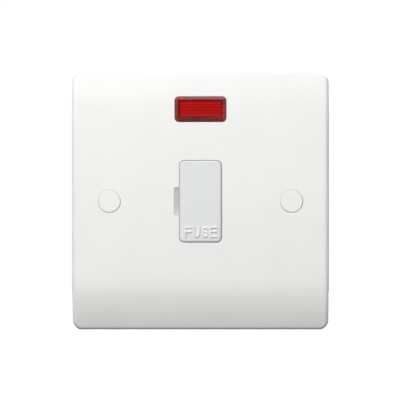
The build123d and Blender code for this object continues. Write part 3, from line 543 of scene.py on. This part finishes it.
def spaced_from_behind(word, middle, height):
    """Letters with their spans for a word that is read from behind, where X runs to the left."""
    width, step = MARK_WIDTH * height, MARK_STEP * height
    start = middle[0] + (step * (len(word) - 1) + width) / 2
    low, high = middle[1] - height / 2, middle[1] + height / 2
    lefts = [start - i * step for i in range(len(word))]
    return [(letter, (left, left - width, low, high)) for letter, left in zip(word, lefts)]


def thread_tree():
    """Geometry Nodes: a threaded rod along -Z from the origin, copied to each point it is given."""
    tree = bpy.data.node_groups.new("Screw thread", "GeometryNodeTree")
    sockets = tree.interface
    sockets.new_socket("Geometry", in_out="INPUT", socket_type="NodeSocketGeometry")
    for name in ("Radius", "Root", "Pitch", "Length", "Tip"):
        sockets.new_socket(name, in_out="INPUT", socket_type="NodeSocketFloat")
    sockets.new_socket("Rings", in_out="INPUT", socket_type="NodeSocketInt")
    sockets.new_socket("Material", in_out="INPUT", socket_type="NodeSocketMaterial")
    sockets.new_socket("Geometry", in_out="OUTPUT", socket_type="NodeSocketGeometry")
    made = Wiring(tree)
    maths = made.maths
    given = made.node("NodeGroupInput").outputs

    rod = made.node("GeometryNodeMeshCylinder")
    rod.inputs["Vertices"].default_value = THREAD_SIDES
    made.link(given["Rings"], rod.inputs["Side Segments"])
    made.link(given["Radius"], rod.inputs["Radius"])
    made.link(given["Length"], rod.inputs["Depth"])

    place = made.node("GeometryNodeInputPosition")
    split = made.node("ShaderNodeSeparateXYZ")
    made.link(place.outputs["Position"], split.inputs["Vector"])
    x, y, z = (split.outputs[axis] for axis in "XYZ")
    turn = maths("DIVIDE", maths("ARCTAN2", y, x), tau)
    phase = maths("FRACT", maths("ADD", maths("DIVIDE", z, given["Pitch"]), turn))
    ridge = maths("ABSOLUTE", maths("SUBTRACT", maths("MULTIPLY", phase, 2), 1))
    depth = maths("SUBTRACT", given["Radius"], given["Root"])
    threaded = maths("ADD", given["Root"], maths("MULTIPLY", ridge, depth))
    half_length = maths("MULTIPLY", given["Length"], 0.5)
    to_tip = maths("ADD", z, half_length)
    radius = maths("MINIMUM", threaded, maths("ADD", given["Tip"], to_tip))
    scale = maths("DIVIDE", radius, given["Radius"])
    joined = made.node("ShaderNodeCombineXYZ")
    made.link(maths("MULTIPLY", x, scale), joined.inputs["X"])
    made.link(maths("MULTIPLY", y, scale), joined.inputs["Y"])
    made.link(maths("SUBTRACT", z, half_length), joined.inputs["Z"])
    shaped = made.node("GeometryNodeSetPosition")
    made.link(rod.outputs["Mesh"], shaped.inputs["Geometry"])
    made.link(joined.outputs["Vector"], shaped.inputs["Position"])

    copies = made.node("GeometryNodeInstanceOnPoints")
    made.link(given["Geometry"], copies.inputs["Points"])
    made.link(shaped.outputs["Geometry"], copies.inputs["Instance"])
    real = made.node("GeometryNodeRealizeInstances")
    made.link(copies.outputs["Instances"], real.inputs["Geometry"])
    painted = made.node("GeometryNodeSetMaterial")
    made.link(real.outputs["Geometry"], painted.inputs["Geometry"])
    made.link(given["Material"], painted.inputs["Material"])
    made.link(painted.outputs["Geometry"], made.node("NodeGroupOutput").inputs["Geometry"])
    return tree


def threaded_rod(name, tree, sizes, material):
    """A threaded rod along -Z from the origin, as a plain mesh."""
    points = bpy.data.meshes.new(f"{name}_start")
    points.from_pydata([(0, 0, 0)], [], [])
    holder = add_mesh_object(f"{name}_start", points)
    modifier = holder.modifiers.new("Thread", "NODES")
    modifier.node_group = tree
    rings = int(sizes["Length"] / sizes["Pitch"] * RINGS_PER_TURN)
    values = {**sizes, "Rings": rings, "Material": material}
    for item in tree.interface.items_tree:
        if item.in_out == "INPUT" and item.name in values:
            modifier[item.identifier] = values[item.name]
    bpy.context.view_layer.update()
    mesh = plain_mesh(holder)
    bpy.data.objects.remove(holder)
    return mesh


def screw_head(node, cut_y, keep_behind):
    """The part of a plain screw on one side of the depth cut_y, as a closed bmesh."""
    shape = bmesh.new()
    shape.from_mesh(node_object(node).data)
    bmesh.ops.remove_doubles(shape, verts=shape.verts, dist=WELD * MM)
    bmesh.ops.bisect_plane(
        shape,
        geom=shape.verts[:] + shape.edges[:] + shape.faces[:],
        plane_co=(0, cut_y, 0),
        plane_no=(0, 1, 0),
        clear_outer=not keep_behind,
        clear_inner=keep_behind,
    )
    bmesh.ops.dissolve_degenerate(shape, dist=WELD * MM, edges=shape.edges)
    bmesh.ops.holes_fill(shape, edges=[edge for edge in shape.edges if edge.is_boundary])
    return shape


def threaded_screw(node, body, head_y, tip_y, diameter, pitch, tree, material):
    """A screw whose head comes from its solid and whose shank is threaded from head_y to tip_y."""
    low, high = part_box(node)
    middle = (low + high) / 2
    radius = diameter / 2
    sizes = {
        "Radius": radius,
        "Root": radius * THREAD_ROOT,
        "Pitch": pitch,
        "Length": abs(tip_y - head_y),
        "Tip": radius * THREAD_TIP,
    }
    rod = threaded_rod(node, tree, sizes, material)
    forwards = tip_y < head_y
    turn = Matrix.Rotation(-pi / 2 if forwards else pi / 2, 4, "X")
    rod.transform(Matrix.Translation((middle.x, head_y, middle.z)) @ turn)
    stub = -STUB * MM if forwards else STUB * MM
    shape = screw_head(node, head_y + stub, keep_behind=forwards)
    shape.from_mesh(rod)
    mesh = bpy.data.meshes.new(f"{node}_threaded")
    shape.to_mesh(mesh)
    shape.free()
    bpy.data.meshes.remove(rod)
    piece = add_mesh_object(f"{node}_threaded", mesh, material)
    mesh.shade_smooth()
    mesh.set_sharp_from_angle(angle=pi / 6)
    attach(piece, body)
    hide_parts(node)


# Studio


def make_world(strength):
    """White to the camera. Gloss and glass see it dark in front, dimmer below and brighter overhead."""
    world = bpy.data.worlds.new("Studio")
    bpy.context.scene.world = world
    world.use_nodes = True
    made = Wiring(world.node_tree)
    path = made.node("ShaderNodeLightPath").outputs
    ray = made.node("ShaderNodeTexCoord")
    split = made.node("ShaderNodeSeparateXYZ")
    made.link(ray.outputs["Generated"], split.inputs["Vector"])

    def towards(axis, start, end, low, high):
        """A strength that changes smoothly with the way that a ray goes."""
        return made.ranged(split.outputs[axis], start, end, low, high, "SMOOTHSTEP")

    def mixed(first, second, choice):
        mix = made.node("ShaderNodeMixShader")
        made.link(choice, mix.inputs["Fac"])
        made.link(first.outputs[0], mix.inputs[1])
        made.link(second.outputs[0], mix.inputs[2])
        return mix

    light = made.tree.nodes["Background"]
    gloss, white = (made.node("ShaderNodeBackground") for _ in range(2))
    for background in (light, gloss, white):
        background.inputs["Color"].default_value = (1, 1, 1, 1)
    made.link(towards("Z", -0.75, 0.0, 0.1 * strength, strength), light.inputs["Strength"])
    below = towards("Z", -0.8, -0.1, 0.6, 1.0)
    overhead = towards("Z", 0.6, 0.85, 1.0, 2.0)
    in_front = towards("Y", -0.85, -0.35, 0.04, 1.0)
    upright = made.maths("MULTIPLY", below, overhead)
    made.link(made.maths("MULTIPLY", in_front, upright), gloss.inputs["Strength"])
    white.inputs["Strength"].default_value = 1.0
    mirrored = made.maths("MAXIMUM", path["Is Glossy Ray"], path["Is Transmission Ray"])
    surroundings = mixed(mixed(light, gloss, mirrored), white, path["Is Camera Ray"])
    made.link(surroundings.outputs[0], made.tree.nodes["World Output"].inputs["Surface"])


def make_floor(height):
    """Pale floor under the plate, lifted to white for the camera where nothing shades it."""
    made = Finish("studio_floor", 0.9)
    made.tint(made.grain(60 * MM), (0.9, 0.9, 0.9), (0.93, 0.93, 0.93))
    path = made.node("ShaderNodeLightPath").outputs
    lift = made.maths("MULTIPLY", path["Is Camera Ray"], FLOOR_LIFT)
    made.shader.inputs["Emission Color"].default_value = (1, 1, 1, 1)
    made.link(lift, made.shader.inputs["Emission Strength"])
    mesh = bpy.data.meshes.new("studio_floor")
    reach = FLOOR_REACH
    corners = [(-reach, -reach), (reach, -reach), (reach, reach), (-reach, reach)]
    mesh.from_pydata([(x, y, height) for x, y in corners], [], [(0, 1, 2, 3)])
    floor = add_mesh_object("studio_floor", mesh, made.material)
    floor.visible_diffuse = False


def make_lamp(name, setting, target, power, mirrored=True):
    """A round lamp, set by its place and diameter. Gloss shows it only if it is mirrored."""
    place, size = setting
    lamp = bpy.data.lights.new(name, "AREA")
    lamp.shape = "DISK"
    lamp.size = size
    lamp.energy = power
    holder = bpy.data.objects.new(name, lamp)
    bpy.context.scene.collection.objects.link(holder)
    holder.visible_glossy = mirrored
    holder.location = place
    holder.rotation_euler = (Vector(target) - Vector(place)).to_track_quat("-Z", "Y").to_euler()


def make_camera(studio, rim_y, plate_width):
    """Looks straight at the plate, at the size and place that it has in the picture."""
    camera = bpy.data.cameras.new("Camera")
    holder = bpy.data.objects.new("Camera", camera)
    bpy.context.scene.collection.objects.link(holder)
    per_pixel = plate_width / studio.plate_pixels
    camera.sensor_width = 36
    camera.lens = camera.sensor_width * studio.distance / (per_pixel * IMAGE_SIDE)
    across, down = studio.centre_pixels
    x = (IMAGE_SIDE / 2 - across) * per_pixel
    z = (down - IMAGE_SIDE / 2) * per_pixel
    holder.location = (x, rim_y - studio.distance, z)
    holder.rotation_euler = (pi / 2, 0, 0)
    bpy.context.scene.camera = holder


# Operators


class SPUR_OT_plate(bpy.types.Operator):
    """Finish the front plate and the two screw caps"""

    bl_idname = "spur.plate"
    bl_label = "Plate and Caps"

    def execute(self, context):
        white = moulded_plastic("plate_plastic", settings().finishes.plate, 0.2, 0.002 * MM)
        finish(["front_plate", "screw_cap_left", "screw_cap_right"], white)
        return {"FINISHED"}


class SPUR_OT_carrier(bpy.types.Operator):
    """Finish the fuse carrier and raise the word on its face"""

    bl_idname = "spur.carrier"
    bl_label = "Fuse Carrier"

    def execute(self, context):
        plastic = moulded_plastic("carrier_plastic", settings().finishes.carrier, 0.22, 0.004 * MM)
        finish(["fuse_carrier"], plastic)
        word = settings().lettering
        low, high = word.middle - word.height / 2, word.middle + word.height / 2
        letters = [(letter, (left * MM, right * MM, low, high)) for letter, left, right in LETTERS]
        face_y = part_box("fuse_carrier")[0].y
        mesh = raised_letters("carrier_word", letters, word.stroke, word.relief, face_y)
        # Lighter copy of the carrier's plastic on the letters: painted highlight, with a slightly smoother
        # finish
        polished = moulded_plastic("lit_letter_plastic", settings().finishes.letters, 0.2, 0.002 * MM)
        piece = add_mesh_object("carrier_word", mesh, polished)
        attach(piece, CARRIER)
        return {"FINISHED"}


class SPUR_OT_fuse(bpy.types.Operator):
    """Finish the fuse inside the carrier"""

    bl_idname = "spur.fuse"
    bl_label = "Fuse"

    def execute(self, context):
        finish(["fuse_barrel"], ceramic_tube())
        nickel = drawn_metal("nickel_cap", (0.68, 0.66, 0.61), 0.28, (1, 1, 0.1))
        finish(["fuse_cap_supply", "fuse_cap_load"], nickel)
        return {"FINISHED"}


class SPUR_OT_indicator(bpy.types.Operator):
    """Finish the lens, lamp, resistor and leads of the indicator"""

    bl_idname = "spur.indicator"
    bl_label = "Neon Indicator"

    def execute(self, context):
        colours = settings().finishes
        finish(["neon_lens"], red_lens_plastic(colours.lens))
        finish(["neon_holder"], moulded_plastic("holder_plastic", (0.8, 0.8, 0.78), 0.5, 0.006 * MM))
        finish(["neon_lamp"], lamp_glass())
        finish(["neon_electrodes"], drawn_metal("electrode_wire", (0.5, 0.5, 0.5), 0.4, (0.1, 1, 1)))
        finish(["neon_resistor"], lacquered_resistor())
        live = sleeve_plastic("live_sleeve", colours.live_sleeve)
        finish(["neon_live_lead_upper", "neon_live_lead_lower"], live)
        finish(["neon_neutral_lead"], sleeve_plastic("neutral_sleeve", colours.neutral_sleeve))
        return {"FINISHED"}


class SPUR_OT_base(bpy.types.Operator):
    """Finish the moulded base behind the plate"""

    bl_idname = "spur.base"
    bl_label = "Terminal Base"

    def execute(self, context):
        plastic = moulded_plastic("base_plastic", settings().finishes.base, 0.5, 0.012 * MM)
        finish(["rear_base"], plastic)
        word = settings().lettering
        letters = []
        for mark, middle in BASE_MARKS:
            letters += spaced_from_behind(mark, [place * MM for place in middle], word.mark_height)
        rear_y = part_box("rear_base")[1].y - TURRET_RISE * MM
        mesh = raised_letters("base_marks", letters, word.mark_stroke, word.mark_relief, rear_y)
        piece = add_mesh_object("base_marks", mesh, plastic)
        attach(piece, BODY)
        return {"FINISHED"}


class SPUR_OT_brass(bpy.types.Operator):
    """Finish the terminals, fuse clips and neutral link"""

    bl_idname = "spur.brass"
    bl_label = "Brass"

    def execute(self, context):
        finish(BRASS_NODES, drawn_metal("brass", settings().finishes.brass, 0.3, (1, 1, 0.08)))
        return {"FINISHED"}


class SPUR_OT_screws(bpy.types.Operator):
    """Cut the threads of every screw and plate them"""

    bl_idname = "spur.screws"
    bl_label = "Screws"

    def execute(self, context):
        threads = settings().threads
        zinc = drawn_metal("zinc_plate", settings().finishes.zinc, 0.26, (1, 0.15, 1))
        tree = thread_tree()
        for node in BOX_SCREWS:
            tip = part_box(node)[1].y
            size = (threads.box_diameter, threads.box_pitch)
            threaded_screw(node, BODY, threads.box_start, tip, *size, tree, zinc)
        for node in TERMINAL_SCREWS:
            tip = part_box(node)[0].y
            size = (threads.terminal_diameter, threads.terminal_pitch)
            threaded_screw(node, node, tip + threads.terminal_length, tip, *size, tree, zinc)
        for node in BASE_SCREWS:
            tip, top = (corner.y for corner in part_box(node))
            size = (threads.base_diameter, threads.base_pitch)
            threaded_screw(node, BODY, top - threads.base_head, tip, *size, tree, zinc)
        return {"FINISHED"}


class SPUR_OT_studio(bpy.types.Operator):
    """Set the floor, lamps and camera"""

    bl_idname = "spur.studio"
    bl_label = "Studio"

    def execute(self, context):
        scene = context.scene
        scene.view_settings.view_transform = "Standard"
        studio = settings().studio
        low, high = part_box("front_plate")
        make_world(studio.ambient)
        make_floor(low.z)
        middle = (0, low.y, 0)
        make_lamp("Key", KEY_LAMP, middle, studio.key_power, mirrored=False)
        make_lamp("Front", FRONT_LAMP, middle, studio.front_power, mirrored=False)
        make_lamp("Back", BACK_LAMP, middle, studio.back_power)
        make_camera(studio, low.y + RIM_DEPTH * MM, high.x - low.x)
        return {"FINISHED"}


class SPUR_PT_panel(bpy.types.Panel):
    """Lists the steps that finish the unit"""

    bl_label = "Spur Unit"
    bl_idname = "SPUR_PT_panel"
    bl_space_type = "VIEW_3D"
    bl_region_type = "UI"
    bl_category = "Spur Unit"

    def draw(self, context):
        for step in STEPS:
            self.layout.operator(step.bl_idname)


STEPS = [
    SPUR_OT_plate,
    SPUR_OT_carrier,
    SPUR_OT_fuse,
    SPUR_OT_indicator,
    SPUR_OT_base,
    SPUR_OT_brass,
    SPUR_OT_screws,
    SPUR_OT_studio,
]
GROUPS = [SpurFinishes, SpurLettering, SpurThreads, SpurStudio, SpurSettings]


def register():
    for cls in [*GROUPS, *STEPS, SPUR_PT_panel]:
        bpy.utils.register_class(cls)
    bpy.types.Scene.spur_unit = bpy.props.PointerProperty(type=SpurSettings)


def unregister():
    del bpy.types.Scene.spur_unit
    for cls in reversed([*GROUPS, *STEPS, SPUR_PT_panel]):
        bpy.utils.unregister_class(cls)


def main():
    register()
    for step in STEPS:
        group, name = step.bl_idname.split(".")
        getattr(getattr(bpy.ops, group), name)()


if __name__ == "__main__":
    main()
